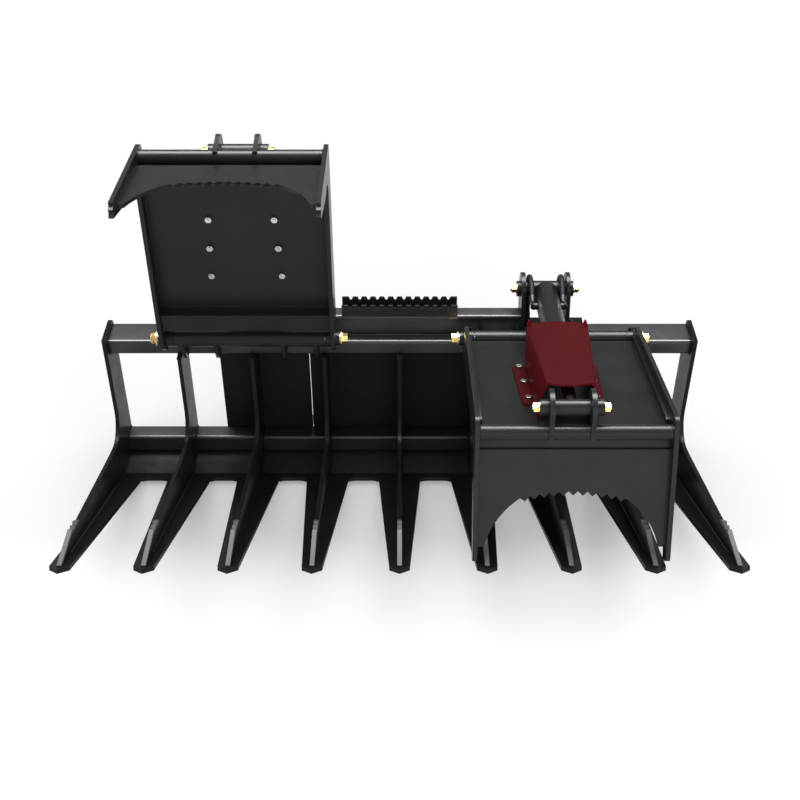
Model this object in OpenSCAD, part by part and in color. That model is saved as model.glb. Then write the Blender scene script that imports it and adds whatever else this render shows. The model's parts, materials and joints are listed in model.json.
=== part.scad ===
// Skeleton grapple bucket for a compact loader: nine tine ribs on a finger
// plate, a top beam and a lower tube, two grapple arms on cross pivots, one
// hydraulic cylinder to each arm, shown with the right arm closed and the
// left arm open.
//
// The origin is on the back face that the loader's coupler seats on, at the
// middle of its width and height. +Z is up, -Y is the way the tines point.

/* [Frame] */
// overall width over the two end plates
frame_w = 1829; // [1500:1:2200]
// thickness of ribs, end plates and arm side plates
plate_t = 12.7; // [10:0.1:16]
// distance from the middle rib to the ribs beside it
centre_gap = 234; // [200:1:260]
// depth of a rib's upright, front edge to back edge
upright_d = 127; // [110:1:160]
// height from the top of the floor plate to the top of the end plates
frame_h = 505.5; // [450:0.5:600]
// reach of the tine tips in front of the uprights
reach = 795; // [650:1:900]
// rise of the tines above level
tine_angle = 24.1; // [18:0.1:30]
// distance from the uprights' front edge forward to the floor plate's bend
bend_y = 43.2; // [20:0.1:80]

/* [Floor plate] */
// thickness of the floor and finger plate
floor_t = 12.7; // [9:0.1:20]
// width of a finger at its root
finger_root_w = 137; // [110:1:150]
// width of a finger at the shoulders of its point
finger_tip_w = 55; // [40:1:80]
// length of a finger's point
point_l = 24; // [10:1:40]
// corner radius of the cut-outs between the fingers
cut_r = 24; // [10:1:30]
// distance from the bend to the root of the cut-outs, along the slope
cut_s = 44; // [30:1:80]

/* [Tine noses] */
// length of a nose bar, measured level
nose_l = 300; // [200:1:350]
// thickness of a nose bar
nose_t = 9; // [6:0.5:12]

/* [Tubes] */
// depth of the top beam
beam_d = 101.6; // [80:0.1:127]
// height of the top beam
beam_h = 50.8; // [40:0.1:76]
// wall of the top beam and the lower tube
tube_wall = 6.4; // [4:0.1:8]
// drop from the end plates' top to the beam's top
beam_drop = 20.3; // [10:0.1:40]
// side of the square lower tube
lower_tube_w = 63.5; // [50:0.1:76]
// depth of the upper cross tube
cross_d = 50.8; // [38:0.1:60]
// height of the upper cross tube
cross_h = 69.9; // [50:0.1:80]

/* [Coupler plates] */
// thickness of the plates on the back
attach_t = 9.5; // [8:0.1:13]
// overall width of the two coupler plates
attach_w = 1158; // [1100:1:1200]
// height of the coupler plates
attach_h = 419; // [380:1:460]
// width of the plate between the coupler plates
back_w = 578; // [500:1:640]
// slit between the middle plate and each coupler plate
slit_w = 2.2; // [2:0.1:6]

/* [Step] */
// length of the toothed step
step_l = 355.6; // [250:1:450]
// height of the step's flanges
step_h = 40; // [25:0.5:45]
// teeth on each flange
step_teeth = 13; // [9:1:17]

/* [Arms] */
// distance from the middle to the centre of each arm
arm_x = 458.5; // [420:0.5:520]
// width of an arm over its side plates
arm_w = 528; // [480:1:560]
// length of an arm, pivot to the back of its front plate
arm_l = 650; // [600:1:700]
// depth of an arm's hanging front, from the pivot's level to the tips
arm_drop = 382; // [350:1:390]
// thickness of the arm's deck
deck_t = 6.4; // [5:0.1:10]
// thickness of the arm's front plate
front_t = 10; // [8:0.1:13]
// outer diameter of the arm's front tube
front_tube_d = 42.2; // [38:0.1:60]
// height of the cylinder's pin above the arm's pivot level
rod_pin_n = 48.3; // [40:0.1:60]
// angle of a closed arm above level
closed_angle = 14.3; // [10:0.1:20]
// travel of an arm from closed to open
arm_travel = 75; // [60:1:80]

/* [Pivots] */
// pivot's distance in front of the uprights' front edge
pivot_y = 5.1; // [0:0.1:15]
// pivot's height above the end plates' top
pivot_z = 14; // [10:0.1:30]
// outer diameter of the pivot tubes and collars
pivot_tube_d = 50.8; // [45:0.1:60]
// diameter of the pivot pins
pivot_pin_d = 31.75; // [25:0.05:38]
// length of the collar between a side plate and the fixed pivot tube
collar_l = 19.9; // [15:0.1:30]
// running clearance of each pin in its bore, on the radius
fit = 0.05; // [0.02:0.01:0.1]

/* [Cylinders] */
// distance from the middle to each cylinder
cyl_x = 446.3; // [410:0.1:500]
// height of the base pin above the end plates' top
base_z = 116; // [100:1:140]
// base pin's distance behind the uprights' front edge
base_y = 114.3; // [90:0.1:127]
// outer diameter of the barrel
barrel_d = 72.4; // [60:0.1:76]
// rod left bare between the rod pin and the barrel with the arm open
bare_rod = 67; // [60:1:90]
// gap from the base pin's centre to the barrel
barrel_gap = 27; // [25:0.1:30]
// diameter of the rod
rod_d = 34.9; // [25:0.1:40]
// diameter of the cylinder's pins
cyl_pin_d = 25.4; // [20:0.1:32]
// outer diameter of the base eye
base_eye_d = 49; // [40:0.1:50]
// outer diameter of the rod's eye
rod_eye_d = 44.5; // [38:0.1:50]

/* [Guards] */
// width of a guard's top at the rear
guard_w_rear = 148; // [140:1:160]
// width of a guard's top at the front
guard_w_front = 122.8; // [110:0.1:136]
// height of a guard's top over the deck at the rear
guard_h_rear = 141.5; // [136:0.1:150]
// height of a guard's top over the deck at the front
guard_h_front = 113; // [105:1:120]
// thickness of a guard
guard_t = 5.5; // [4:0.1:8]
// diameter of a guard's bolts
guard_bolt_d = 11.1; // [10:0.1:13]

/* [Hoses] */
// outer diameter of a hose
hose_d = 16; // [12:0.5:18]

/* [Hidden] */
$fn = 48;
end_x = (frame_w - plate_t) / 2;
// rib centres on one side: even steps from the first rib to the end plate
rib_x = [for (i = [0:3]) centre_gap + (end_x - centre_gap) * i / 3];
floor_z = -frame_h;
back_y = upright_d;
face_y = back_y + attach_t;
attach_top = -25.4;
face_z = attach_top - attach_h / 2;
beam_y = back_y - beam_d;
beam_top = -beam_drop;
beam_low = beam_top - beam_h;
inner_l = frame_w - 2 * plate_t;
slope = tan(tine_angle);
tip_s = (reach - bend_y) / cos(tine_angle);
tube_z = floor_z + lower_tube_w;
// the rib's upper edge: heel corner, hump and start of the nose
heel_z = floor_z + 138;
nose_y = -(reach - 20 - nose_l);
nose_end = -(reach - 20);
function floor_at(y) = floor_z + max(0, -bend_y - y) * slope;
nose_z0 = floor_at(nose_y) + 45.5;
nose_z1 = floor_at(nose_end) + 1.5;
nose_k = (nose_z1 - nose_z0) / (nose_end - nose_y);
// tower ears, measured from the cylinder's plane
ear_in = 61.7;
ear_out = ear_in + plate_t;
boss_out = 86.4;
base_boss_d = 48.3;
ear_r = 50.8;
cross_l = 2 * (cyl_x - ear_out);
cross_y = base_y - 53.3;
cross_top = beam_top + cross_h;
// rod clevis on the arm, measured from the cylinder's plane
clevis_in = 47.8;
clevis_out = clevis_in + plate_t;
clevis_boss_out = 83.8;
clevis_r = 49.5;
rod_pin_s = arm_l - 43;
front_tube_s = arm_l - 25.5;
front_tube_n = -15;
side_in = arm_w / 2 - plate_t;
pivot_tube_l = 2 * (side_in - collar_l - 1);
pin_boss = 12;
// the deck falls toward the front tube, from this height over the pivot
deck_n = 10.1;
deck_fall = 2.65;
function deck_at(s) = deck_n - s * tan(deck_fall);
// the front tube's center and the deck's front edge, measured on the deck
tube_on_deck = [
  front_tube_s * cos(deck_fall) - (front_tube_n - deck_n) * sin(deck_fall),
  front_tube_s * sin(deck_fall) + (front_tube_n - deck_n) * cos(deck_fall)];
deck_s1 = tube_on_deck.x - front_tube_d / 2 - 0.1;
// the front plate leans forward from the top edge of its face
front_s = arm_l - 23;
front_n = -63.6;
front_lean = 8.2;
guard_s0 = 231;
guard_s1 = arm_l - 82;
bolt_s = [for (i = [0:2]) guard_s0 + 8 + i * (guard_s1 - guard_s0 - 142) / 2];
bolt_x = [103, 98.5, 93];
// cylinder geometry from the three pivots
ap = [base_y + pivot_y, base_z - pivot_z];
function base_s(a) = -cos(a) * ap.x + sin(a) * ap.y;
function base_n(a) = sin(a) * ap.x + cos(a) * ap.y;
function cyl_l(a) = norm([rod_pin_s - base_s(a), base_n(a) - rod_pin_n]);
function cyl_a(a) = atan2(base_n(a) - rod_pin_n, rod_pin_s - base_s(a));
open_angle = closed_angle + arm_travel;
stroke = cyl_l(closed_angle) - cyl_l(open_angle);
barrel_l = cyl_l(open_angle) - barrel_gap - bare_rod;
rod_l = cyl_l(closed_angle) - barrel_gap - barrel_l + 76;
function arm_angle(side) = side > 0 ? closed_angle : open_angle;

// the corners of a path, each [x, y, radius], with arcs where the radius is set
function unit(v) = v / norm(v);
function arc_at(a, b, c, r, n) =
  let (u = unit(a - b), w = unit(c - b), h = acos(u * w) / 2,
       d = r / tan(h), o = b + unit(u + w) * r / sin(h),
       p = b + u * d, q = b + w * d,
       s = atan2(p.y - o.y, p.x - o.x), e = atan2(q.y - o.y, q.x - o.x),
       t = ((e - s + 540) % 360) - 180)
  [for (i = [0:n]) o + r * [cos(s + t * i / n), sin(s + t * i / n)]];
function path(c, n = 6) =
  [for (i = [0:len(c) - 1])
    let (m = len(c), a = c[(i + m - 1) % m], b = c[i], d = c[(i + 1) % m])
    each (b[2] > 0 ? arc_at([a.x, a.y], [b.x, b.y], [d.x, d.y], b[2], n)
                   : [[b.x, b.y]])];

// all frame coordinates below are taken from the uprights' front edge and the
// end plates' top, then moved so that the coupler face is the origin
module placed() { translate([0, -face_y, -face_z]) children(); }

// a profile drawn in Y and Z, made t thick from x0 on
module across(x0, t) {
  translate([x0, 0, 0]) rotate([90, 0, 90]) linear_extrude(t) children();
}

module sided(side) { mirror([side < 0 ? 1 : 0, 0, 0]) children(); }

// a square with round corners
module round_square(w, h, r) {
  union() {
    translate([-w / 2, -h / 2 + r]) square([w, h - 2 * r]);
    translate([-w / 2 + r, -h / 2]) square([w - 2 * r, h]);
    for (i = [-1, 1], j = [-1, 1])
      translate([i * (w / 2 - r), j * (h / 2 - r)]) circle(r = r);
  }
}

// a rectangular tube along X, centred on the middle of its section
module box_tube(l, w, h, t) {
  rotate([90, 0, 90]) linear_extrude(l, center = true) difference() {
    round_square(w, h, 1.6 * t);
    round_square(w - 2 * t, h - 2 * t, 0.7 * t);
  }
}

module hex(af, h) { cylinder(d = af / cos(30), h = h, $fn = 6); }

// ---- frame ----

// upper edge of a rib from the upright down round the heel to the nose
function rib_edge(top) = [
  [0, top, 0],
  [0, heel_z, 74],
  [-165, heel_z + 22, 130],
  [-252, heel_z + 62, 130],
  [nose_y, nose_z0, 0]
];
nose_under = nose_t / cos(atan(nose_k));
// where the underside of the nose bar meets the finger plate
nose_meet = nose_y - (nose_z0 - nose_under - floor_at(nose_y)) / (slope - (-nose_k));

module rib_profile(top, full) {
  polygon(path(concat(
    rib_edge(top),
    [[nose_y, nose_z0 - nose_under, 0],
     [nose_meet, floor_at(nose_meet), 0],
     [-bend_y, floor_z, 0]],
    full
      ? [[back_y, floor_z, 0], [back_y, top, 22]]
      : [[back_y - lower_tube_w, floor_z, 0], [back_y - lower_tube_w, tube_z, 0],
         [back_y, tube_z, 0], [back_y, top, 0]])));
}

module rib(x) {
  color("#26272a") placed() across(x - plate_t / 2, plate_t)
    rib_profile(beam_low, false);
}

module end_plate(side) {
  color("#26272a") placed() sided(side)
    across(end_x - plate_t / 2, plate_t) rib_profile(0, true);
}

// bare steel bar on the upper edge of each tine, two saw teeth at its rear
module tine_noses() {
  k = nose_k;
  function on(y) = nose_z0 + (y - nose_y) * k;
  color("#9a9ca0") placed()
    for (x = concat([0], rib_x, [for (v = rib_x) -v]))
      across(x - plate_t / 2, plate_t) polygon([
        [nose_y, on(nose_y) - nose_under],
        [nose_y, on(nose_y) + 5],
        [nose_y - 14, on(nose_y - 14) + 1],
        [nose_y - 17, on(nose_y - 17) + 6],
        [nose_y - 33, on(nose_y - 33)],
        [nose_end, on(nose_end)],
        [nose_end, floor_at(nose_end)],
        [nose_meet, floor_at(nose_meet)]
      ]);
}

// outline of the sloping part, x across and s along the slope from the bend
function finger(x, wl, wr, last) = concat(
  wl > 0 ? [[x - finger_root_w / 2, cut_s, cut_r]]
         : [[x - plate_t / 2, cut_s, 0]],
  [[x - finger_tip_w / 2, tip_s - point_l, 0], [x, tip_s, 0],
   [x + finger_tip_w / 2, tip_s - point_l, 0]],
  wr > 0 ? [[x + finger_root_w / 2, cut_s, cut_r]]
         : [[x + plate_t / 2, cut_s, 0]]);

module floor_plate() {
  all_x = concat([for (i = [3:-1:0]) -rib_x[i]], [0], rib_x);
  n = len(all_x);
  fingers = [for (i = [0:n - 1]) each finger(all_x[i], i, n - 1 - i)];
  m = floor_t * tan(tine_angle / 2);
  r = 30;
  color("#2b2c2f") placed() union() {
    // level part and the bend
    across(-frame_w / 2, frame_w) polygon([
      [back_y, floor_z], [-bend_y, floor_z],
      [-bend_y - r * cos(tine_angle), floor_z + r * sin(tine_angle)],
      [-bend_y - r * cos(tine_angle) - floor_t * sin(tine_angle),
       floor_z + r * sin(tine_angle) - floor_t * cos(tine_angle)],
      [-bend_y - m, floor_z - floor_t], [back_y, floor_z - floor_t]]);
    // fingers
    translate([0, -bend_y, floor_z]) rotate([-tine_angle, 0, 0])
      mirror([0, 0, 1]) mirror([0, 1, 0]) linear_extrude(floor_t)
        polygon(path(concat(
          [[-frame_w / 2, r - 2, 0]], fingers, [[frame_w / 2, r - 2, 0]])));
  }
}

module top_beam() {
  color("#303134") placed()
    translate([0, back_y - beam_d / 2, beam_top - beam_h / 2])
      box_tube(inner_l, beam_d, beam_h, tube_wall);
}

module lower_tube() {
  color("#303134") placed()
    translate([0, back_y - lower_tube_w / 2, floor_z + lower_tube_w / 2])
      box_tube(inner_l, lower_tube_w, lower_tube_w, tube_wall);
}

module upper_tube() {
  color("#303134") placed()
    translate([0, cross_y + cross_d / 2, beam_top + cross_h / 2])
      box_tube(cross_l, cross_d, cross_h, 4.8);
}

module back_plate() {
  color("#26272a") placed()
    translate([-back_w / 2, back_y, attach_top - attach_h])
      cube([back_w, attach_t, attach_h]);
}

// coupler plate: flat face, hooked lip along its top, slotted ledge below
module coupler_plate(side) {
  x0 = back_w / 2 + slit_w;
  w = attach_w / 2 - x0;
  low = attach_top - attach_h;
  t = attach_t;
  color("#26272a") placed() sided(side) difference() {
    union() {
      across(x0, w) polygon([
        [back_y, low], [back_y, attach_top], [face_y + 26, attach_top],
        [face_y + 44, attach_top - 24], [face_y + 36, attach_top - 30],
        [face_y + 21, attach_top - t], [face_y, attach_top - t],
        [face_y, low + t], [face_y + 46, low + t - 8],
        [face_y + 46, low - 8]]);
    }
    translate([x0 + w / 2 - 25, face_y + 12, low - 20]) cube([50, 22, 50]);
  }
}

// channel with toothed flanges, and a shallow relief under the front one
module step() {
  y0 = cross_y + cross_d / 2;
  w = 50.8;
  t = 4.8;
  pitch = step_l / step_teeth;
  d = 11;
  module flange() {
    polygon(concat(
      [[-step_l / 2, 0]], [[step_l / 2, 0]],
      [for (i = [step_teeth - 1:-1:0]) let (c = -step_l / 2 + pitch * (i + 0.5))
        each [[c + pitch * (i == step_teeth - 1 ? 0.5 : 0.26), step_h],
              [c - pitch * (i == 0 ? 0.5 : 0.26), step_h],
              if (i > 0) [c - pitch * 0.38, step_h - d + 2],
              if (i > 0) [c - pitch * 0.44, step_h - d],
              if (i > 0) [c - pitch * 0.56, step_h - d],
              if (i > 0) [c - pitch * 0.62, step_h - d + 2]]]));
  }
  color("#303134") placed() translate([0, y0, cross_top]) difference() {
    union() {
      translate([-step_l / 2, -w / 2, 0]) cube([step_l, w, t]);
      for (y = [-w / 2 + t, w / 2])
        translate([0, y, 0]) rotate([90, 0, 0]) linear_extrude(t) flange();
    }
    translate([0, -w / 2 - 1, -192]) rotate([-90, 0, 0])
      cylinder(r = 196, h = t + 0.9, $fn = 96);
  }
}

// ---- towers and the fixed pivots ----

module ear_profile() {
  a = [base_y, base_z];
  y0 = back_y - beam_d;
  // tangent from the foot's front corner to the round top
  v = a - [y0, beam_top];
  g = atan2(v.y, v.x) + asin(ear_r / norm(v));
  q = [y0, beam_top] + sqrt(v * v - ear_r * ear_r) * [cos(g), sin(g)];
  difference() {
    union() {
      translate(a) circle(r = ear_r, $fn = 72);
      polygon([[y0, beam_top], q, a, [base_y + 12.7, base_z - 20],
               [back_y, beam_top]]);
      polygon([[back_y, beam_top], a, [base_y + ear_r * cos(15), base_z - ear_r * sin(15)]]);
    }
    translate(a) circle(d = cyl_pin_d);
  }
}

module tower(side) {
  color("#26272a") placed() sided(side) {
    for (i = [-1, 1])
      across(cyl_x + (i > 0 ? ear_in : -ear_out), plate_t) ear_profile();
    // bosses outside the ears
    for (i = [-1, 1])
      translate([cyl_x + (i > 0 ? ear_out : -boss_out), base_y, base_z])
        rotate([0, 90, 0]) difference() {
          cylinder(d = base_boss_d, h = boss_out - ear_out);
          translate([0, 0, -1]) cylinder(d = cyl_pin_d, h = boss_out);
        }
    // gusset beside the outer ear
    translate([cyl_x + ear_out, base_y - 25, beam_top]) rotate([90, 0, 0])
      linear_extrude(9.5) polygon([[0, 0], [32, 0], [12, 42], [0, 42]]);
  }
}

module base_eyes() {
  color("#2b2c2f") placed() for (side = [-1, 1]) sided(side)
    translate([cyl_x - ear_in + 0.5, base_y, base_z]) rotate([0, 90, 0])
      difference() {
        cylinder(d = base_eye_d, h = 2 * ear_in - 1);
        translate([0, 0, -1]) cylinder(d = cyl_pin_d + 0.1, h = 2 * ear_in + 2);
      }
}

module pin_with_ends(l, d, stud_d, stud_l) {
  rotate([0, 90, 0]) {
    translate([0, 0, -l / 2]) cylinder(d = d - 0.1, h = l);
    for (i = [0, 1]) mirror([0, 0, i]) translate([0, 0, l / 2 - 1])
      cylinder(d = stud_d, h = stud_l + 1);
  }
}

module end_nuts(x) {
  for (i = [-1, 1]) translate([i * x, 0, 0]) rotate([0, i * 90, 0])
    difference() {
      union() {
        cylinder(d = 31, h = 2.6);
        translate([0, 0, 2.6]) hex(24, 13);
      }
      translate([0, 0, -1]) cylinder(d = 16, h = 30);
    }
}

module base_pins() {
  color("#8f9194") placed() for (side = [-1, 1]) sided(side)
    translate([cyl_x, base_y, base_z])
      pin_with_ends(2 * boss_out, cyl_pin_d, 15.9, 19);
}

module base_pin_nuts() {
  color("#c9a13c") placed() for (side = [-1, 1]) sided(side)
    translate([cyl_x, base_y, base_z]) end_nuts(boss_out);
}

module pivot_tube(side) {
  color("#2b2c2f") placed() sided(side)
    translate([arm_x - pivot_tube_l / 2, -pivot_y, pivot_z]) rotate([0, 90, 0])
      difference() {
        cylinder(d = pivot_tube_d, h = pivot_tube_l);
        translate([0, 0, -1])
          cylinder(d = pivot_pin_d + 2 * fit, h = pivot_tube_l + 2);
      }
}

// tabs that carry the pivot tubes on the front of the top beam
module pivot_tabs() {
  r = pivot_tube_d / 2;
  low = beam_low + 4;
  color("#26272a") placed() for (side = [-1, 1], x = [-201.9, -102.9, 102.9, 204.5])
    sided(side) across(arm_x + x - 5.7, 11.4) difference() {
      polygon([
        [beam_y, low], [beam_y, beam_top + 2], [-pivot_y + r, pivot_z],
        [-pivot_y - r, pivot_z], [-pivot_y - r, pivot_z - 22],
        [beam_y - 22, low]]);
      translate([-pivot_y, pivot_z]) circle(d = pivot_tube_d);
    }
}

// ---- hoses ----

// rings of a round tube swept along points that run mainly in Y and Z
function ring(p, t, r, n) =
  let (e = unit(cross(t, [1, 0, 0])), f = unit(cross(t, e)))
  [for (i = [0:n - 1]) p + r * (cos(360 * i / n) * e + sin(360 * i / n) * f)];
function spline(p, k) = [for (i = [0:len(p) - 2], j = [0:k - 1])
  let (a = p[max(i - 1, 0)], b = p[i], c = p[i + 1],
       d = p[min(i + 2, len(p) - 1)], u = j / k)
  0.5 * (2 * b + (c - a) * u + (2 * a - 5 * b + 4 * c - d) * u * u
         + (3 * b - a - 3 * c + d) * u * u * u)];
module swept(pts, r, n = 8) {
  q = concat(spline(pts, 4), [pts[len(pts) - 1]]);
  m = len(q);
  v = [for (i = [0:m - 1])
    each ring(q[i], q[min(i + 1, m - 1)] - q[max(i - 1, 0)], r, n)];
  f = concat(
    [[for (i = [0:n - 1]) i]],
    [for (k = [0:m - 2], i = [0:n - 1]) let (a = k * n + i, b = k * n + (i + 1) % n)
      each [[a, a + n, b], [b, a + n, b + n]]],
    [[for (i = [n - 1:-1:0]) (m - 1) * n + i]]);
  polyhedron(points = v, faces = f, convexity = 6);
}

// routes from a coupling on the beam, round the back of the base eye to the
// barrel's ports, as [across, toward the front, up] from the base pin: on to
// the closed cylinder on the right, straight up to the open one on the left
hose_low = beam_top - base_z + 22;
route_start = [[47, -3, hose_low], [47, -9, -92], [47, -30, -55], [47, -43, -16]];
route_closed = concat(route_start, [
  [48, -36, 18], [48, -8, 41], [47, 24, 46], [46, 52, 37], [46, 78, 22.5],
  [46, 97, 14.8]
]);
route_open = concat(route_start, [
  [48, -42, 12], [47, -28, 38], [46, -6, 60], [46, 10, 80], [46, 15.4, 99]
]);
module hoses(side) {
  color("#17181a") placed() sided(side)
    translate([cyl_x, base_y, base_z]) for (i = [-1, 1]) {
      swept([for (p = side > 0 ? route_closed : route_open)
        [i * p.x, -p.y, p.z]], hose_d / 2);
      translate([i * 47, 3, beam_top - base_z]) cylinder(d = 18, h = 22);
    }
}

// ---- arms ----

// an arm's own coordinates: X across from its centre, -Y along it from the
// pivot to the front, Z up from it
module arm_frame(side) {
  placed() sided(side) translate([arm_x, -pivot_y, pivot_z])
    rotate([-arm_angle(side), 0, 0]) children();
}

module side_profile() {
  s1 = arm_l;
  d = arm_drop;
  difference() {
    union() {
      circle(r = 36, $fn = 72);
      polygon(path([
        [-7.6, -61, 0], [-29, 53.3, 12], [-(s1 - 4), 33, 24],
        [-(s1 + 39), 16 - d, 0], [-(s1 + 29.5), 19 - d, 0],
        [-(s1 + 23.5), 6 - d, 0], [-(s1 + 14), 9 - d, 0],
        [-(s1 + 7.5), -d, 0], [-(s1 + 1), 3 - d, 3],
        [-(s1 - 50), -203, 40], [-(s1 - 62), -61, 60]]));
    }
    circle(d = pivot_pin_d + 0.1);
  }
}

module arm_sides(side) {
  color("#232427") arm_frame(side) for (i = [0, 1]) mirror([i, 0, 0]) {
    across(side_in, plate_t) side_profile();
    // boss round the pivot pin outside the plate
    across(arm_w / 2, pin_boss) difference() {
      circle(d = 44);
      circle(d = pivot_pin_d + 0.1);
    }
  }
}

module pivot_pins(side) {
  x0 = pivot_tube_l / 2 + 1;
  color("#8f9194") arm_frame(side) for (i = [0, 1]) mirror([i, 0, 0])
    translate([x0 - 100, 0, 0]) rotate([0, 90, 0])
      cylinder(d = pivot_pin_d, h = arm_w / 2 - x0 + 100 + pin_boss + 3);
}

module pivot_bolts(side) {
  x0 = arm_w / 2 + pin_boss + 3;
  color("#c9a13c") arm_frame(side) for (i = [0, 1]) mirror([i, 0, 0])
    translate([x0, 0, 0]) rotate([0, 90, 0]) {
      cylinder(d = 44, h = 5);
      translate([0, 0, 5]) hex(27, 16);
    }
}

// the deck's own coordinates: Z is zero on its top
module on_deck(side) {
  arm_frame(side) translate([0, 0, deck_n]) rotate([deck_fall, 0, 0]) children();
}

module guard_holes(d) {
  for (i = [-1, 1], k = [0:2])
    translate([cyl_x - arm_x + i * bolt_x[k], -bolt_s[k], -30]) cylinder(d = d, h = 60);
}

// deck with a square-edged box stiffener under its rear end
module arm_deck(side) {
  color("#2b2c2f") on_deck(side) {
    difference() {
      translate([-side_in, -deck_s1, -deck_t])
        cube([2 * side_in, deck_s1 - 42, deck_t]);
      guard_holes(guard_bolt_d + 1);
    }
    across(-side_in, 2 * side_in) difference() {
      translate([-119, -50]) square([57, 50 - deck_t / 2]);
      translate([-113, -44]) square([45, 44 - deck_t]);
    }
  }
}

// stiffener strips on the deck inside the side plates, collars at the pivot
module arm_strips(side) {
  x0 = pivot_tube_l / 2 + 1;
  color("#2b2c2f") for (i = [0, 1]) {
    on_deck(side) mirror([i, 0, 0]) {
      translate([side_in - 9.5, 0, 0]) across(0, 9.5) polygon([
        [-48, 0], [-48, 22], [-(arm_l - 80), 22], [-(arm_l - 72), 18],
        [-(arm_l - 68), 10], [-(arm_l - 68), 0]]);
      // plug welds along the strip's top
      for (k = [0:2]) translate([side_in - 4.75, -bolt_s[k] + 16, 21.5])
        cylinder(d = 7, h = 1.3);
    }
    arm_frame(side) mirror([i, 0, 0]) {
      translate([x0, 0, 0]) rotate([0, 90, 0]) difference() {
        cylinder(d = pivot_tube_d, h = side_in - x0);
        translate([0, 0, -1]) cylinder(d = pivot_pin_d + 0.1, h = 60);
      }
      // grease fitting over the collar
      translate([x0 + collar_l / 2, 0, pivot_tube_d / 2 - 1]) cylinder(d = 8, h = 10);
    }
  }
}

module front_tube(side) {
  color("#303134") arm_frame(side)
    translate([-side_in, -front_tube_s, front_tube_n]) rotate([0, 90, 0])
      difference() {
        cylinder(d = front_tube_d, h = 2 * side_in);
        translate([0, 0, -1])
          cylinder(d = front_tube_d - 9.8, h = 2 * side_in + 2);
      }
}

// front plate: an arch between two feet with twelve notches along its crown,
// and the strip behind its top edge that joins it to the front tube
module front_plate(side) {
  h = arm_drop - 107.8;
  foot = 17.8;
  c = side_in - 249;
  r = side_in - 13.3;
  drop = h + 56.6;
  p = 25.4;
  function crown(x) = -(116.5 + 0.00102 * x * x);
  a0 = asin((5.5 * p - c) / r);
  a1 = asin((side_in - foot - c) / r);
  half = concat(
    [for (i = [0:24]) let (a = a1 + (a0 - a1) * i / 24) [c + r * sin(a), -drop + r * cos(a)]],
    [for (k = [5:-1:1]) each [[k * p, crown(k * p) - 12], [(k - 0.5) * p, crown((k - 0.5) * p)]]]);
  color("#26272a") arm_frame(side) difference() {
    translate([0, -front_s, front_n]) rotate([-front_lean, 0, 0]) {
      translate([0, front_t, 0]) rotate([90, 0, 0]) linear_extrude(front_t) polygon(concat(
        [[side_in, 0], [side_in, -h]], [[half[0].x, -h]], half, [[0, crown(0) - 12]],
        [for (i = [len(half) - 1:-1:0]) [-half[i].x, half[i].y]],
        [[-half[0].x, -h]], [[-side_in, -h], [-side_in, 0]]));
      translate([-side_in, front_t - 0.5, -14]) cube([2 * side_in, 8, 50]);
    }
    translate([-side_in - 1, -front_tube_s, front_tube_n]) rotate([0, 90, 0])
      cylinder(d = front_tube_d + 0.04, h = 2 * side_in + 2);
  }
}

module clevis(side) {
  r = [-rod_pin_s, rod_pin_n];
  t = [-front_tube_s, front_tube_n];
  module ear() {
    difference() {
      union() {
        translate(r) circle(r = clevis_r, $fn = 72);
        polygon([[r.x + clevis_r, deck_at(-r.x - clevis_r)], [r.x + clevis_r, r.y], r,
                 [r.x - clevis_r, r.y], [-arm_l + 0.5, -20],
                 [-arm_l + 0.5, -29.5], [t.x, -29.5],
                 [t.x + front_tube_d / 2, deck_at(-t.x - front_tube_d / 2)]]);
      }
      translate(t) circle(d = front_tube_d + 0.04);
      translate(r) circle(d = cyl_pin_d);
    }
  }
  color("#26272a") arm_frame(side) translate([cyl_x - arm_x, 0, 0]) {
    for (i = [-1, 1]) across(i > 0 ? clevis_in : -clevis_out, plate_t) ear();
    for (i = [-1, 1]) translate([i > 0 ? clevis_out : -clevis_boss_out, r.x, r.y])
      rotate([0, 90, 0]) difference() {
        cylinder(d = rod_eye_d, h = clevis_boss_out - clevis_out);
        translate([0, 0, -1]) cylinder(d = cyl_pin_d, h = 60);
      }
  }
}

// solid between two sections across the guard, each [s, foot, [shoulder, height],
// [bend, height], crown height]
module hood(a, b) {
  function loop(v, z) = [
    [-v[1], -v[0], z], [-v[2][0], -v[0], v[2][1]], [-v[3][0], -v[0], v[3][1]],
    [0, -v[0], v[4]], [v[3][0], -v[0], v[3][1]], [v[2][0], -v[0], v[2][1]],
    [v[1], -v[0], z]];
  z = a[5];
  polyhedron(points = concat(loop(a, z), loop(b, z)), faces = concat(
    [[6, 5, 4, 3, 2, 1, 0]], [[7, 8, 9, 10, 11, 12, 13]],
    [for (i = [0:6]) let (j = (i + 1) % 7) each [[j + 7, i + 7, i], [j + 7, i, j]]]));
}

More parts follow.
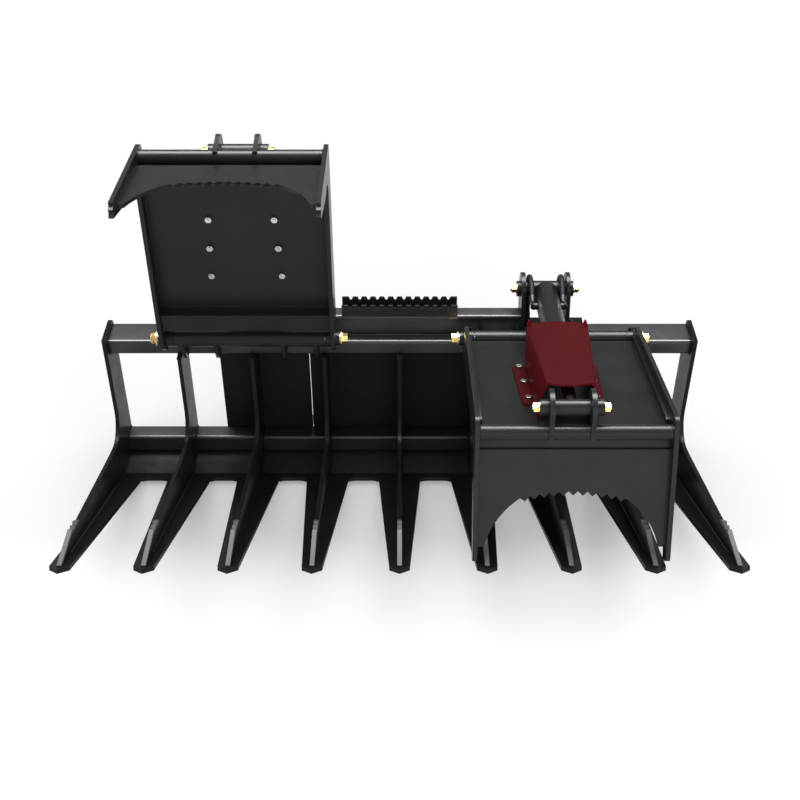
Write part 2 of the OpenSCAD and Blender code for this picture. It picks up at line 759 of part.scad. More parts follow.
// folded guard over the cylinder, bolted down through its flanges
module guard(side) {
  t = guard_t;
  wr = guard_w_rear / 2;
  wf = guard_w_front / 2;
  hr = guard_h_rear;
  hf = guard_h_front;
  s0 = guard_s0;
  s1 = guard_s1;
  module shell(o, g) {
    rear = [s0, wr + 13 - o, [wr + 13 - o, hr - 8.5 - o * 0.45], [wr - o * 0.45, hr - o], hr + 6 - o, -g];
    front = [s1, wf + 19 - o, [wf + 18.6 - o, hf - 55 - o * 0.45], [wf - o * 0.55, hf - o], hf + 0.5 - o, -g];
    // carried on past both ends by g
    k = g / (s1 - s0);
    function on(u, v, m) = u + (u - v) * m;
    function far(u, v) = [on(u[0], v[0], k), on(u[1], v[1], k), on(u[2], v[2], k),
                          on(u[3], v[3], k), on(u[4], v[4], k), u[5]];
    hood(far(rear, front), far(front, rear));
  }
  color("#64201f") on_deck(side) translate([cyl_x - arm_x, 0, 0]) difference() {
    union() {
      intersection() {
        difference() {
          shell(0, 0);
          shell(t, 6);
        }
        // front edge bowed forward
        union() {
          translate([0, -s1 + 180, 0]) cylinder(r = 180, h = 200, $fn = 160);
          translate([-120, -450, 0]) cube([240, 300, 200]);
        }
      }
      difference() {
        linear_extrude(t) offset(r = 12, $fn = 48) offset(delta = -12) polygon([
          [-123, -s0 + 3], [123, -s0 + 3], [111, -s1 + 98], [-111, -s1 + 98]]);
        shell(t, 6);
      }
      // rear corners turned up
      for (i = [0, 1]) mirror([i, 0, 0]) translate([0, -s0, 0]) rotate([90, 0, 0])
        linear_extrude(7) polygon([
          [wr + 13, hr - 9], [wr + 8, hr + 9], [wr + 2.5, hr + 11],
          [wr - 1, hr - 1], [wr + 8, hr - 10]]);
    }
    translate([arm_x - cyl_x, 0, 0]) guard_holes(guard_bolt_d + 1);
  }
}

module guard_bolts(side) {
  color("#8f9194") on_deck(side) for (i = [-1, 1], k = [0:2])
    translate([cyl_x - arm_x + i * bolt_x[k], -bolt_s[k], 0]) {
      translate([0, 0, -deck_t - 14]) cylinder(d = guard_bolt_d, h = deck_t + guard_t + 14.5);
      translate([0, 0, guard_t]) hex(17, 7);
      translate([0, 0, -deck_t - 11]) hex(18, 11);
    }
}

module rod_pin(side) {
  color("#8f9194") arm_frame(side)
    translate([cyl_x - arm_x, -rod_pin_s, rod_pin_n])
      pin_with_ends(2 * clevis_boss_out, cyl_pin_d, 15.9, 19);
}

module rod_pin_nuts(side) {
  color("#c9a13c") arm_frame(side)
    translate([cyl_x - arm_x, -rod_pin_s, rod_pin_n]) end_nuts(clevis_boss_out);
}

// ---- cylinders ----

// Y runs from the rod's pin to the base pin
module cyl_frame(side) {
  a = arm_angle(side);
  arm_frame(side) translate([cyl_x - arm_x, -rod_pin_s, rod_pin_n])
    rotate([cyl_a(a), 0, 0]) children();
}

module along(y0, y1, d) {
  translate([0, y0, 0]) rotate([-90, 0, 0]) cylinder(d = d, h = y1 - y0);
}

bore_d = barrel_d - 12;
module barrel(side) {
  l = cyl_l(arm_angle(side));
  y1 = l - barrel_gap;
  y0 = y1 - barrel_l;
  color("#232427") cyl_frame(side) {
    difference() {
      union() {
        along(y0, y1, barrel_d);
        // port blocks and unions for the hoses
        for (i = [-1, 1]) {
          translate([i * 36, l - 120, 0]) rotate([0, i * 90, 0])
            cylinder(d = 22, h = 20, center = true);
          translate([i * 46, l - 128, 0]) rotate([-90, 0, 0]) cylinder(d = 18, h = 26);
        }
      }
      along(y0 - 1, y1 - 14, bore_d);
    }
  }
}

module gland(side) {
  y0 = cyl_l(arm_angle(side)) - barrel_gap - barrel_l;
  color("#303134") cyl_frame(side) difference() {
    union() {
      along(y0, y0 + 34, bore_d);
      along(y0 - 6, y0, barrel_d - 4);
    }
    along(y0 - 10, y0 + 40, rod_d + 2 * fit);
  }
}

module rod(side) {
  color("#b9bcc0") cyl_frame(side) difference() {
    union() {
      along(10, rod_l, rod_d);
      rotate([0, 90, 0]) cylinder(d = rod_eye_d, h = 2 * clevis_in - 2, center = true);
    }
    rotate([0, 90, 0]) cylinder(d = cyl_pin_d, h = 200, center = true);
  }
}

module piston(side) {
  color("#8f9194") cyl_frame(side) difference() {
    along(rod_l - 30, rod_l - 2, bore_d - 0.6);
    along(rod_l - 40, rod_l + 1, rod_d);
  }
}

floor_plate();
end_plate(-1);  // end_plate_left
end_plate(1);  // end_plate_right
rib(-rib_x[2]);  // rib_left_outer
rib(-rib_x[1]);  // rib_left_middle
rib(-rib_x[0]);  // rib_left_inner
rib(0);  // rib_centre
rib(rib_x[0]);  // rib_right_inner
rib(rib_x[1]);  // rib_right_middle
rib(rib_x[2]);  // rib_right_outer
tine_noses();
top_beam();
lower_tube();
upper_tube();
back_plate();
coupler_plate(-1);  // coupler_plate_left
coupler_plate(1);  // coupler_plate_right
step();
tower(-1);  // tower_left
tower(1);  // tower_right
base_eyes();
base_pins();
base_pin_nuts();
pivot_tube(-1);  // pivot_tube_left
pivot_tube(1);  // pivot_tube_right
pivot_tabs();
hoses(-1);  // hoses_left
hoses(1);  // hoses_right
arm_sides(-1);  // arm_sides_left
arm_deck(-1);  // arm_deck_left
arm_strips(-1);  // arm_strips_left
front_tube(-1);  // front_tube_left
front_plate(-1);  // front_plate_left
clevis(-1);  // clevis_left
guard(-1);  // guard_left
guard_bolts(-1);  // guard_bolts_left
pivot_pins(-1);  // pivot_pins_left
pivot_bolts(-1);  // pivot_bolts_left
rod_pin(-1);  // rod_pin_left
rod_pin_nuts(-1);  // rod_pin_nuts_left
arm_sides(1);  // arm_sides_right
arm_deck(1);  // arm_deck_right
arm_strips(1);  // arm_strips_right
front_tube(1);  // front_tube_right
front_plate(1);  // front_plate_right
clevis(1);  // clevis_right
guard(1);  // guard_right
guard_bolts(1);  // guard_bolts_right
pivot_pins(1);  // pivot_pins_right
pivot_bolts(1);  // pivot_bolts_right
rod_pin(1);  // rod_pin_right
rod_pin_nuts(1);  // rod_pin_nuts_right
barrel(-1);  // barrel_left
gland(-1);  // gland_left
rod(-1);  // rod_left
piston(-1);  // piston_left
barrel(1);  // barrel_right
gland(1);  // gland_right
rod(1);  // rod_right
piston(1);  // piston_right
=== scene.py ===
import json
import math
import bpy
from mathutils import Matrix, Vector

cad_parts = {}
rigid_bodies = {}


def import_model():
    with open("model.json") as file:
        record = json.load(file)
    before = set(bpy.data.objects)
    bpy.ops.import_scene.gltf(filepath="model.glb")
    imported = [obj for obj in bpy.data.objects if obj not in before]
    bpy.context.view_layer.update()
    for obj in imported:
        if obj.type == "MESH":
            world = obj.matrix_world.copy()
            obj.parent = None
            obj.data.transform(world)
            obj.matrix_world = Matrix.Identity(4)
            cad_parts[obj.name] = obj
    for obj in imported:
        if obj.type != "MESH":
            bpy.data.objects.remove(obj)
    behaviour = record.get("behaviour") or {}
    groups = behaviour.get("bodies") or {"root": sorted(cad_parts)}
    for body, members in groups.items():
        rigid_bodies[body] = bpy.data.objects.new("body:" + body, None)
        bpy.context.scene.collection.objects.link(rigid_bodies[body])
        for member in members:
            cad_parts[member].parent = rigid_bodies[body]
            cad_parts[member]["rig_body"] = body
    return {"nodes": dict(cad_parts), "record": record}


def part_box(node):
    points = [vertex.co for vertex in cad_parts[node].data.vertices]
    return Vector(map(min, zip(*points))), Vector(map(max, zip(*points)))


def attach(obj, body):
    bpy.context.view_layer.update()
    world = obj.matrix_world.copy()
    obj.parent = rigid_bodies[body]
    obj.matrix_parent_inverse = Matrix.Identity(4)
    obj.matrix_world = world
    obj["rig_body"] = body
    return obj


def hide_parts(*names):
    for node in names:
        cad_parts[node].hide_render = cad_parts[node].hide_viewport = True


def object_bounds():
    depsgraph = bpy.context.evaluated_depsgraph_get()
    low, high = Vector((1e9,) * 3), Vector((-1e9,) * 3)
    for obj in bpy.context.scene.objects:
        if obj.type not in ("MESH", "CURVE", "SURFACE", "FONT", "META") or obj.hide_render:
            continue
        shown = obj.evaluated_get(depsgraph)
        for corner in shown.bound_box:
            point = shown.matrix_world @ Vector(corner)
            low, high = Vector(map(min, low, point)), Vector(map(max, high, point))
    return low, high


bl_info = {
    "name": "Skeleton grapple finish",
    "version": (1, 0, 0),
    "blender": (4, 5, 0),
    "location": "3D View > Sidebar > Grapple",
    "description": "Coats, fasteners, hoses and welds of a skeleton grapple bucket",
    "category": "Object",
}

import bmesh
import bpy
from bpy.props import FloatProperty, FloatVectorProperty, PointerProperty
from mathutils import Matrix, Vector

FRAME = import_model()
CAD_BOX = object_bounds()
SIDES = (("left", -1), ("right", 1))

# Frame, in millimetres from the uprights' front edge and the end plates' top, as it is set out
FACE_Y, FACE_Z = 136.5, -234.9
PLATE = 12.7
BACK_Y = 127.0
MIDDLE_GAP, END_X = 234.0, 908.15
RIB_X = [0.0] + [s * (MIDDLE_GAP + (END_X - MIDDLE_GAP) * i / 3) for i in range(4) for s in (-1, 1)]
FLOOR_TOP, BEND_Y = -505.5, -43.2
SLOPE = math.tan(math.radians(24.1))
LOWER_TUBE = 63.5
BACK_PLATE_LOW = -444.4
BEAM_Y, BEAM_TOP, BEAM_LOW = 25.4, -20.3, -71.1
CROSS_Y, CROSS_TOP = (61.0, 111.8), 49.6
STEP_END, STEP_WELD = 177, 87
TAB_X, TAB_HALF = (-201.9, -102.9, 102.9, 204.5), 5.7
EAR_IN, EAR_OUT = 61.7, 74.4
BASE_PIN = (114.3, 116.0)

# Arms and cylinders: each arm's own distances are along it and up from it
PIVOT = (-5.1, 14.0)
ARM_X, CYL_X = 458.5, 446.3
ARM_ANGLE = {-1: 89.3, 1: 14.3}
SIDE_IN = 251.3
DECK_RISE, DECK_FALL, DECK = 10.1, 2.65, 6.4
STRIP = 9.5
FRONT_TUBE, FRONT_TUBE_R = (624.5, -15), 21.1
FRONT_PLATE = ((617, -66), (655, -330))
CLEVIS_IN, CLEVIS_OUT = 47.8, 60.5
ROD_PIN, ROD_EYE_R = (607, 48.3), 24

# A tine's upper edge from heel to nose: its height at the uprights' front edge, and its slope
UPPER_EDGE, UPPER_SLOPE = -384.2, 0.3003
HEEL_END, NOSE_START, NOSE_LOW = -118, -470, -600

# Distance from the uprights' front edge and height over the floor plate: a tine's upper edge
# under its nose bar, and the bar's top with its three saw teeth
NOSE_SEAT = [(-560, 58.5), (-648, 48.5), (-766, 0)]
NOSE_TOP = [
    (-775, 0), (-775, 4), (-647, 57.5), (-639, 63.5), (-621, 56),
    (-612, 65.5), (-595, 57), (-586, 68), (-562, 60.5),
]

# Routes of the hoses from the base pin: across, toward the front and up
ROUTE_START = [(47, -3, -114.3), (47, -9, -92), (47, -30, -55), (47, -43, -16)]
ROUTES = {
    1: ROUTE_START + [
        (48, -36, 18), (48, -8, 41), (47, 24, 46), (46, 52, 37), (46, 78, 22.5), (46, 97, 14.8),
    ],
    -1: ROUTE_START + [(48, -42, 12), (47, -28, 38), (46, -6, 60), (46, 10, 80), (46, 15.4, 99)],
}

# Turned ends of a hose, as distance along it and radius, with three crimped rings, and the beam's coupling
CRIMP = [
    (6, 8.6), (8, 8.6), (8, 9.4), (14, 9.4), (14, 8.6),
    (16, 8.6), (16, 9.2), (22, 9.2), (23, 8.2), (23, 0),
]
LOW_END = [(0, 0), (0, 9.4), (6, 9.4)] + CRIMP
TOP_END = [(0, 0), (0, 9), (5, 9.4)] + CRIMP
COUPLING = [(0, 0), (0, 9), (21, 9), (22, 8.2), (22, 0)]

# Camera of the photograph, in metres and degrees, with its lens on a 36 mm sensor
CAMERA_PLACE, CAMERA_TILT, CAMERA_LENS, CAMERA_SHIFT = (0, -3.21015, 2.47416), 51.2, 55.8, 0.0005


def linear(hex_code):
    """An sRGB hex colour as linear red, green and blue."""
    parts = [int(hex_code[i : i + 2], 16) / 255 for i in (1, 3, 5)]
    return tuple(p / 12.92 if p <= 0.04045 else ((p + 0.055) / 1.055) ** 2.4 for p in parts)


def place(x, y, z):
    """A point of the frame in metres, from millimetres."""
    return Vector((x, y - FACE_Y, z - FACE_Z)) / 1000


def on_arm(side, x, s, n):
    """A point of an arm: x across from its centre, s along it, n up from it."""
    a = math.radians(ARM_ANGLE[side])
    y = PIVOT[0] - s * math.cos(a) + n * math.sin(a)
    z = PIVOT[1] + s * math.sin(a) + n * math.cos(a)
    return place(side * (ARM_X + x), y, z)


def on_deck(side, x, s, n):
    """A point of an arm measured from the top of its deck, which falls toward the front."""
    a = math.radians(DECK_FALL)
    along = s * math.cos(a) + n * math.sin(a)
    return on_arm(side, x, along, DECK_RISE - s * math.sin(a) + n * math.cos(a))


def floor_at(y):
    """Height of the floor plate's top, level behind its bend and rising before it."""
    return FLOOR_TOP + max(0.0, BEND_Y - y) * SLOPE


def settings():
    """Sizes and colours set in the panel."""
    return bpy.context.scene.grapple_finish


# Materials


def add(tree, kind, inputs=None, stops=(), **fields):
    """One node with its fields set, its inputs filled or linked and its colour stops in place."""
    node = tree.nodes.new(kind)
    for name, value in fields.items():
        setattr(node, name, value)
    for name, value in (inputs or {}).items():
        if isinstance(value, bpy.types.NodeSocket):
            tree.links.new(value, node.inputs[name])
        else:
            node.inputs[name].default_value = value
    if stops:
        while len(node.color_ramp.elements) < len(stops):
            node.color_ramp.elements.new(0.5)
        for element, (position, colour) in zip(node.color_ramp.elements, stops):
            element.position = position
            element.color = (*colour, 1)
    return node


def new_material(name):
    """An empty material with a shader, its output and the piece's Object coordinates."""
    material = bpy.data.materials.new(name)
    material.use_nodes = True
    tree = material.node_tree
    tree.nodes.clear()
    shader = add(tree, "ShaderNodeBsdfPrincipled")
    out = add(tree, "ShaderNodeOutputMaterial", {"Surface": shader.outputs["BSDF"]})
    where = add(tree, "ShaderNodeTexCoord").outputs["Object"]
    return material, tree, shader, where, out


def satin_powder_coat(name="satin_black_powder_coat", gloss=0.15):
    """Black polyester powder on blasted steel plate: satin, a faint orange peel and handling haze."""
    material, tree, shader, where, _ = new_material(name)
    p = settings()
    haze = add(tree, "ShaderNodeTexNoise", {"Vector": where, "Scale": 4.5, "Detail": 5, "Roughness": 0.6})
    dark = tuple(c * 0.8 for c in p.coat_colour)
    blacks = [(0.35, dark), (0.7, tuple(p.coat_colour))]
    tint = add(tree, "ShaderNodeValToRGB", {"Fac": haze.outputs["Fac"]}, blacks)
    tree.links.new(tint.outputs["Color"], shader.inputs["Base Color"])
    # rubbed and dusty patches a hand wide
    rub = add(tree, "ShaderNodeTexNoise", {"Vector": where, "Scale": 12, "Detail": 4, "Roughness": 0.65})
    rough = add(tree, "ShaderNodeMapRange", {
        "Value": rub.outputs["Fac"], "From Min": 0.3, "From Max": 0.7,
        "To Min": p.coat_roughness - 0.05, "To Max": p.coat_roughness + 0.06,
    })
    tree.links.new(rough.outputs["Result"], shader.inputs["Roughness"])
    # orange peel is about 2 mm across, drawn at 4 mm so that it shows
    peel = add(tree, "ShaderNodeTexNoise", {"Vector": where, "Scale": 250, "Detail": 2, "Roughness": 0.5})
    bump = add(tree, "ShaderNodeBump", {"Height": peel.outputs["Fac"], "Strength": 0.08, "Distance": 0.0006})
    tree.links.new(bump.outputs["Normal"], shader.inputs["Normal"])
    shader.inputs["Specular IOR Level"].default_value = gloss
    return material


def tine_coat():
    """The same powder on the tines and back plates, dulled by soil."""
    return satin_powder_coat("dulled_tine_powder_coat", 0.04)


def tube_coat():
    """The same powder on cold-drawn tube, whose smoother wall leaves it glossier than on plate."""
    return satin_powder_coat("smooth_tube_powder_coat", 0.46)


def floor_coat():
    """The same powder on the floor plate, rubbed glossy on its level part where the load slides."""
    material = satin_powder_coat("rubbed_floor_powder_coat", 0.04)
    tree = material.node_tree
    where = add(tree, "ShaderNodeTexCoord").outputs["Object"]
    along = add(tree, "ShaderNodeSeparateXYZ", {"Vector": where}).outputs["Y"]
    # the rubbing starts within 6 mm of the bend
    bend = place(0, BEND_Y, 0).y
    level = add(tree, "ShaderNodeMapRange", {
        "Value": along, "From Min": bend - 0.006, "From Max": bend + 0.006, "To Min": 0.04, "To Max": 1.0,
    })
    tree.links.new(level.outputs["Result"], tree.nodes["Principled BSDF"].inputs["Specular IOR Level"])
    return material


def ground_steel():
    """Hot-rolled bar ground bare on its faces: grey, streaked along the bar, dull."""
    material, tree, shader, where, _ = new_material("ground_bare_steel")
    stretch = add(tree, "ShaderNodeMapping", {"Vector": where, "Scale": (6, 0.35, 0.35)})
    # grinding marks are well under 1 mm, drawn 3 mm apart
    marks = add(tree, "ShaderNodeTexNoise", {
        "Vector": stretch.outputs["Vector"], "Scale": 60, "Detail": 5, "Roughness": 0.7,
    })
    greys = [(0.3, linear("#424346")), (0.7, linear("#646568"))]
    tint = add(tree, "ShaderNodeValToRGB", {"Fac": marks.outputs["Fac"]}, greys)
    tree.links.new(tint.outputs["Color"], shader.inputs["Base Color"])
    shader.inputs["Specular IOR Level"].default_value = 0.3
    rough = add(tree, "ShaderNodeMapRange", {"Value": marks.outputs["Fac"], "To Min": 0.5, "To Max": 0.68})
    tree.links.new(rough.outputs["Result"], shader.inputs["Roughness"])
    bump = add(tree, "ShaderNodeBump", {"Height": marks.outputs["Fac"], "Strength": 0.2, "Distance": 0.0006})
    tree.links.new(bump.outputs["Normal"], shader.inputs["Normal"])
    return material


def machined_steel():
    """Turned carbon steel pins and bolts: bright grey with faint turning marks."""
    material, tree, shader, where, _ = new_material("machined_pin_steel")
    # turning marks are under 1 mm apart, drawn at 5 mm
    marks = add(tree, "ShaderNodeTexNoise", {"Vector": where, "Scale": 180, "Detail": 3, "Roughness": 0.6})
    greys = [(0.35, linear("#a3a5a9")), (0.65, linear("#d4d5d8"))]
    tint = add(tree, "ShaderNodeValToRGB", {"Fac": marks.outputs["Fac"]}, greys)
    tree.links.new(tint.outputs["Color"], shader.inputs["Base Color"])
    shader.inputs["Metallic"].default_value = 1.0
    rough = add(tree, "ShaderNodeMapRange", {"Value": marks.outputs["Fac"], "To Min": 0.18, "To Max": 0.3})
    tree.links.new(rough.outputs["Result"], shader.inputs["Roughness"])
    return material


def yellow_zinc():
    """Yellow passivated zinc plate on hexagon hardware: gold with a faint iridescent drift."""
    material, tree, shader, where, _ = new_material("yellow_zinc_plate")
    drift = add(tree, "ShaderNodeTexNoise", {"Vector": where, "Scale": 70, "Detail": 3, "Roughness": 0.6})
    golds = [(0.3, linear("#c9993c")), (0.5, linear("#eed48c")), (0.7, linear("#d0a065"))]
    tint = add(tree, "ShaderNodeValToRGB", {"Fac": drift.outputs["Fac"]}, golds)
    tree.links.new(tint.outputs["Color"], shader.inputs["Base Color"])
    shader.inputs["Metallic"].default_value = 1.0
    shader.inputs["Roughness"].default_value = 0.22
    return material


def guard_paint():
    """Dark red enamel on folded sheet: smooth, dull, slightly uneven from the spray gun."""
    material, tree, shader, where, _ = new_material("dark_red_enamel")
    p = settings()
    spray = add(tree, "ShaderNodeTexNoise", {"Vector": where, "Scale": 7, "Detail": 4, "Roughness": 0.55})
    deep = tuple(c * 0.85 for c in p.guard_colour)
    reds = [(0.35, deep), (0.7, tuple(p.guard_colour))]
    tint = add(tree, "ShaderNodeValToRGB", {"Fac": spray.outputs["Fac"]}, reds)
    tree.links.new(tint.outputs["Color"], shader.inputs["Base Color"])
    shader.inputs["Roughness"].default_value = 0.4
    shader.inputs["Specular IOR Level"].default_value = 0.03
    # orange peel is about 2 mm across, drawn at 4 mm so that it shows
    peel = add(tree, "ShaderNodeTexNoise", {"Vector": where, "Scale": 220, "Detail": 2})
    bump = add(tree, "ShaderNodeBump", {"Height": peel.outputs["Fac"], "Strength": 0.06, "Distance": 0.0005})
    tree.links.new(bump.outputs["Normal"], shader.inputs["Normal"])
    return material


def hard_chrome():
    """Hard chrome on the cylinder rods: bright, with a faint ground lay."""
    material, tree, shader, where, _ = new_material("hard_chrome")
    # the lay is well under 1 mm, drawn at 3 mm
    lay = add(tree, "ShaderNodeTexNoise", {"Vector": where, "Scale": 300, "Detail": 2})
    rough = add(tree, "ShaderNodeMapRange", {"Value": lay.outputs["Fac"], "To Min": 0.1, "To Max": 0.2})
    tree.links.new(rough.outputs["Result"], shader.inputs["Roughness"])
    shader.inputs["Base Color"].default_value = (*linear("#c3c5c9"), 1)
    shader.inputs["Metallic"].default_value = 1.0
    return material


def hose_rubber():
    """Synthetic rubber hose cover with the wrapped cloth impression left by curing: matt black."""
    material, tree, shader, where, _ = new_material("hose_rubber")
    shader.inputs["Base Color"].default_value = (*linear("#0e0e10"), 1)
    shader.inputs["Specular IOR Level"].default_value = 0.12
    # the wrap leaves ridges about 1 mm apart, drawn 3 mm apart
    wrap = add(tree, "ShaderNodeTexWave", {"Vector": where, "Scale": 55, "Distortion": 1.5, "Detail": 2},
               wave_type="BANDS", bands_direction="DIAGONAL")
    rough = add(tree, "ShaderNodeMapRange", {"Value": wrap.outputs["Fac"], "To Min": 0.5, "To Max": 0.68})
    tree.links.new(rough.outputs["Result"], shader.inputs["Roughness"])
    bump = add(tree, "ShaderNodeBump", {"Height": wrap.outputs["Fac"], "Strength": 0.25, "Distance": 0.0006})
    tree.links.new(bump.outputs["Normal"], shader.inputs["Normal"])
    return material


def white_paper():
    """Seamless white backdrop paper: matt, lifted a little where the camera or a reflection sees it; a
    painted light band before the noses thins the shadow there.
    """
    material, tree, shader, where, out = new_material("white_paper_floor")
    tree.nodes.remove(shader)
    grain = add(tree, "ShaderNodeTexNoise", {"Vector": where, "Scale": 1.5, "Detail": 2})
    whites = [(0.3, (0.81,) * 3), (0.7, (0.83,) * 3)]
    tint = add(tree, "ShaderNodeValToRGB", {"Fac": grain.outputs["Fac"]}, whites)
    matt = add(tree, "ShaderNodeBsdfDiffuse", {"Color": tint.outputs["Color"]})
    path = add(tree, "ShaderNodeLightPath").outputs
    seen = {0: path["Is Camera Ray"], 1: path["Is Glossy Ray"]}
    seen = add(tree, "ShaderNodeMath", seen, operation="MAXIMUM")
    seen = {0: seen.outputs[0], 1: path["Is Transmission Ray"]}
    seen = add(tree, "ShaderNodeMath", seen, operation="MAXIMUM")
    # painted light: where the camera sees the floor past the noses, the floor glows more, so that the shadow
    # fades quickly
    along = add(tree, "ShaderNodeSeparateXYZ", {"Vector": where}).outputs["Y"]
    lift = settings().floor_lift
    painted_light_band = add(tree, "ShaderNodeMapRange", {
        "Value": along, "From Min": -0.46, "From Max": -0.67, "To Min": lift, "To Max": lift + 0.16,
    })
    level = {0: seen.outputs[0], 1: painted_light_band.outputs["Result"]}
    glow = add(tree, "ShaderNodeMath", level, operation="MULTIPLY")
    glow = add(tree, "ShaderNodeEmission", {"Strength": glow.outputs[0]})
    both = add(tree, "ShaderNodeAddShader", {0: matt.outputs[0], 1: glow.outputs[0]})
    tree.links.new(both.outputs[0], out.inputs["Surface"])
    return material


MATERIALS = {
    "black_coat": satin_powder_coat, "tine_coat": tine_coat, "tube_coat": tube_coat,
    "floor_coat": floor_coat, "bare_steel": ground_steel, "pin_steel": machined_steel,
    "gold_zinc": yellow_zinc, "guard_red": guard_paint, "rod_chrome": hard_chrome,
    "hose_rubber": hose_rubber,
}
made = {}


def finish_of(slot):
    """The material of a finish, made once."""
    if slot not in made:
        made[slot] = MATERIALS[slot]()
    return made[slot]


# Pieces


def new_piece(name, bm, body, slot, sharp=35.0, finish=None):
    """Makes an object from a bmesh, smooth but for edges sharper than the angle given."""
    limit = math.radians(sharp)
    for face in bm.faces:
        face.smooth = True
    for edge in bm.edges:
        edge.smooth = len(edge.link_faces) == 2 and edge.calc_face_angle(0) < limit
    mesh = bpy.data.meshes.new(name)
    bm.to_mesh(mesh)
    bm.free()
    mesh.materials.append(finish_of(finish or slot))
    piece = bpy.data.objects.new(name, mesh)
    bpy.context.scene.collection.objects.link(piece)
    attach(piece, body)
    return piece


def dress(node, slot, edge, finish=None, shape=None):
    """A merged copy of a CAD node with its edges eased, in its finish, in the node's place."""
    source = FRAME["nodes"][node]
    bm = bmesh.new()
    bm.from_mesh(source.data)
    bmesh.ops.remove_doubles(bm, verts=bm.verts[:], dist=2e-5)
    bmesh.ops.dissolve_limit(bm, angle_limit=math.radians(0.3), verts=bm.verts[:], edges=bm.edges[:])
    if shape:
        for vert in bm.verts:
            x, y, z = (c * 1000 for c in vert.co)
            vert.co = place(*shape(x, y + FACE_Y, z + FACE_Z))
    piece = new_piece(node + "_finished", bm, source["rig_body"], slot, finish=finish)
    ease(piece, edge)
    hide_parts(node)
    return piece


def ease(piece, edge):
    """Eases a piece's edges by a small round, its width in millimetres."""
    if edge > 0:
        bevel = piece.modifiers.new("eased edges", "BEVEL")
        bevel.width = edge / 1000
        bevel.segments = 2
        bevel.limit_method = "ANGLE"
        bevel.angle_limit = math.radians(38)
        bevel.harden_normals = True


def bead(welds, points, radius, step=5.0):
    """Adds a weld bead along a line: a tube of overlapping ripples."""
    spots = []
    for a, b in zip(points, points[1:]):
        count = max(2, int((b - a).length * 1000 / step))
        spots += [a.lerp(b, i / count) for i in range(count)]
    spots.append(points[-1])
    bm = bmesh.new()
    turn = (spots[1] - spots[0]).to_track_quat("Z", "Y").to_matrix().to_4x4()
    bmesh.ops.create_circle(bm, cap_ends=True, radius=radius / 1000, segments=6,
                            matrix=Matrix.Translation(spots[0]) @ turn)
    edges = bm.edges[:]
    for i, (a, b) in enumerate(zip(spots, spots[1:])):
        grown = bmesh.ops.extrude_edge_only(bm, edges=edges)["geom"]
        ring = [g for g in grown if isinstance(g, bmesh.types.BMVert)]
        edges = [g for g in grown if isinstance(g, bmesh.types.BMEdge)]
        bmesh.ops.translate(bm, verts=ring, vec=b - a)
        ripple = 0.8 if i % 2 else 1.25
        bmesh.ops.scale(bm, verts=ring, vec=(ripple,) * 3, space=Matrix.Translation(-b))
    bmesh.ops.contextual_create(bm, geom=edges)
    bmesh.ops.recalc_face_normals(bm, faces=bm.faces[:])
    mesh = bpy.data.meshes.new("bead")
    bm.to_mesh(mesh)
    bm.free()
    welds.from_mesh(mesh)
    bpy.data.meshes.remove(mesh)


def turned(bm, profile, start, direction, segments=24):
    """Adds a turned solid: a profile of (distance, radius) in millimetres spun about an axis."""
    axis = direction.normalized()
    turn = Matrix.Translation(start) @ axis.to_track_quat("Z", "Y").to_matrix().to_4x4()
    verts = [bm.verts.new(turn @ Vector((r / 1000, 0, d / 1000))) for d, r in profile]
    edges = [bm.edges.new(pair) for pair in zip(verts, verts[1:])]
    bmesh.ops.spin(bm, geom=verts + edges, cent=start, axis=axis, angle=math.tau,
                   steps=segments, use_merge=True)


# Frame


def tine(x, y, z):
    """Draws a tine's upper edge straight from its heel to its nose."""
    over = z - floor_at(y)
    if y > HEEL_END or over < 3 and y > NOSE_LOW:
        return x, y, z
    if y > NOSE_START:
        return x, y, UPPER_EDGE - UPPER_SLOPE * y
    seat = NOSE_SEAT[0 if over > 42 else 1 if over > 3 else 2]
    return x, seat[0], floor_at(seat[0]) + seat[1]


def cut_back(x, y, z):
    """Draws the roots of the floor plate's cut-outs back along it toward its bend."""
    back, rise = 12.0, math.atan(SLOPE)
    if -330 < y < -100 and abs(x) < END_X - PLATE:
        return x, y + back * math.cos(rise), z - back * math.sin(rise)
    return x, y, z


def meet_tube(x, y, z):
    """Takes the back plates' lower edge down behind the lower tube's top."""
    lap = 14
    return (x, y, z - lap) if z < BACK_PLATE_LOW + 1 and y < FACE_Y + 0.5 else (x, y, z)


class GRAPPLE_OT_frame(bpy.types.Operator):
    """Coat the frame's plates, tubes, towers, step and coupler plates"""

    bl_idname = "grapple.frame"
    bl_label = "Frame plates and tubes"

    def execute(self, context):
        edge = settings().plate_edge
        for node in FRAME["record"]["behaviour"]["bodies"]["frame"]:
            if node.startswith(("rib_", "end_plate")):
                dress(node, "black_coat", edge, "tine_coat", tine)
            elif node == "floor_plate":
                dress(node, "black_coat", edge, "floor_coat", cut_back)
            elif node.startswith(("back", "coupler")):
                dress(node, "black_coat", edge, "tine_coat", meet_tube)
            elif node.startswith(("tower", "step", "pivot_tabs")):
                dress(node, "black_coat", edge)
            elif node.startswith(("top_beam", "lower_tube", "upper_tube")):
                dress(node, "black_coat", 0.8, "tube_coat")
            elif node.startswith(("base_eyes", "pivot_tube")):
                dress(node, "black_coat", 0.5)
        return {"FINISHED"}


